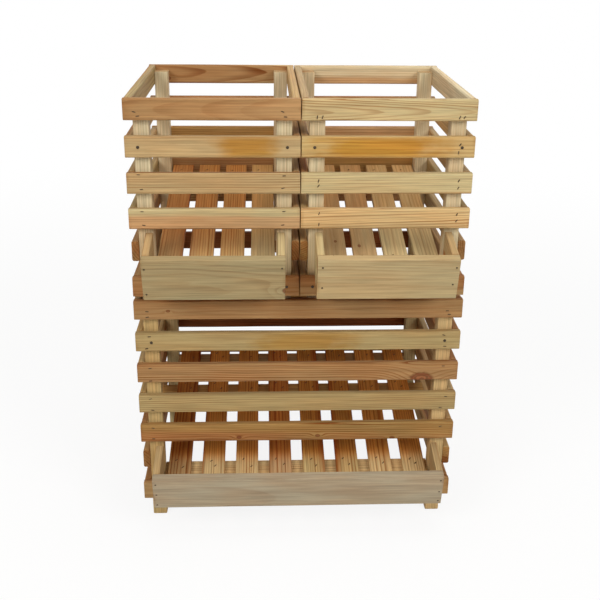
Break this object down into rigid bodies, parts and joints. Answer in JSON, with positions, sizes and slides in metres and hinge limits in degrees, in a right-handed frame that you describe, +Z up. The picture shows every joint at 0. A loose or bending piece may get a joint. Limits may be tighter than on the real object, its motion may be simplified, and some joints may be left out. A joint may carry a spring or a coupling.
{
  "type": "potato storage bin",
  "caption": "Stack of slatted wooden crates for potatoes and roots: two narrow crates on a wide one, each with a sloping slat floor that feeds an open front tray.",
  "frame": {"origin": "on the ground, under the middle of the box of the whole stack", "axes": "+Z up, -Y towards the trays, +X to the right seen from the front"},
  "size_m": [0.6, 0.4764, 0.832],
  "materials": {
    "pale_softwood": "planed, untreated, pale cream sapwood",
    "tan_softwood": "planed, untreated, tan",
    "gold_softwood": "planed, untreated, golden",
    "red_softwood": "planed, untreated, reddish heartwood",
    "dark_steel": "dull dark screw heads"
  },
  "bodies": {
    "wide_crate": {"wide_front_left_post": "tan_softwood", "wide_front_right_post": "tan_softwood", "wide_back_left_post": "tan_softwood", "wide_back_right_post": "tan_softwood", "wide_front_slat_1": "red_softwood", "wide_front_slat_3": "pale_softwood", "wide_front_slat_4": "tan_softwood", "wide_front_slat_5": "gold_softwood", "wide_front_slat_6": "pale_softwood", "wide_front_slat_7": "red_softwood", "wide_back_slats": "gold_softwood", "wide_left_side_slats": "tan_softwood", "wide_right_side_slats": "tan_softwood", "wide_floor_slats": "red_softwood", "wide_front_rail": "gold_softwood", "wide_rear_rail": "gold_softwood", "wide_left_cheek": "pale_softwood", "wide_right_cheek": "pale_softwood", "wide_lip_board": "pale_softwood", "wide_screws": "dark_steel", "wide_middle_rail": "gold_softwood", "wide_centre_ledges": "gold_softwood"},
    "left_crate": {"left_front_left_post": "tan_softwood", "left_front_right_post": "tan_softwood", "left_back_left_post": "tan_softwood", "left_back_right_post": "tan_softwood", "left_front_slat_1": "red_softwood", "left_front_slat_3": "pale_softwood", "left_front_slat_4": "tan_softwood", "left_front_slat_5": "gold_softwood", "left_front_slat_6": "pale_softwood", "left_back_slats": "gold_softwood", "left_left_side_slats": "tan_softwood", "left_right_side_slats": "tan_softwood", "left_floor_slats": "red_softwood", "left_front_rail": "gold_softwood", "left_rear_rail": "gold_softwood", "left_left_cheek": "pale_softwood", "left_right_cheek": "pale_softwood", "left_lip_board": "pale_softwood", "left_screws": "dark_steel"},
    "right_crate": {"right_front_left_post": "tan_softwood", "right_front_right_post": "tan_softwood", "right_back_left_post": "tan_softwood", "right_back_right_post": "tan_softwood", "right_front_slat_1": "red_softwood", "right_front_slat_3": "pale_softwood", "right_front_slat_4": "tan_softwood", "right_front_slat_5": "gold_softwood", "right_front_slat_6": "pale_softwood", "right_back_slats": "gold_softwood", "right_left_side_slats": "tan_softwood", "right_right_side_slats": "tan_softwood", "right_floor_slats": "red_softwood", "right_front_rail": "gold_softwood", "right_rear_rail": "gold_softwood", "right_left_cheek": "pale_softwood", "right_right_cheek": "pale_softwood", "right_lip_board": "pale_softwood", "right_screws": "dark_steel"}
  },
  "joints": [
    {"name": "left_crate_lift", "type": "slide", "parent": "wide_crate", "child": "left_crate", "axis": [0, 0, 1], "range_m": [0, 0.15]},
    {"name": "right_crate_lift", "type": "slide", "parent": "wide_crate", "child": "right_crate", "axis": [0, 0, 1], "range_m": [0, 0.15]}
  ]
}
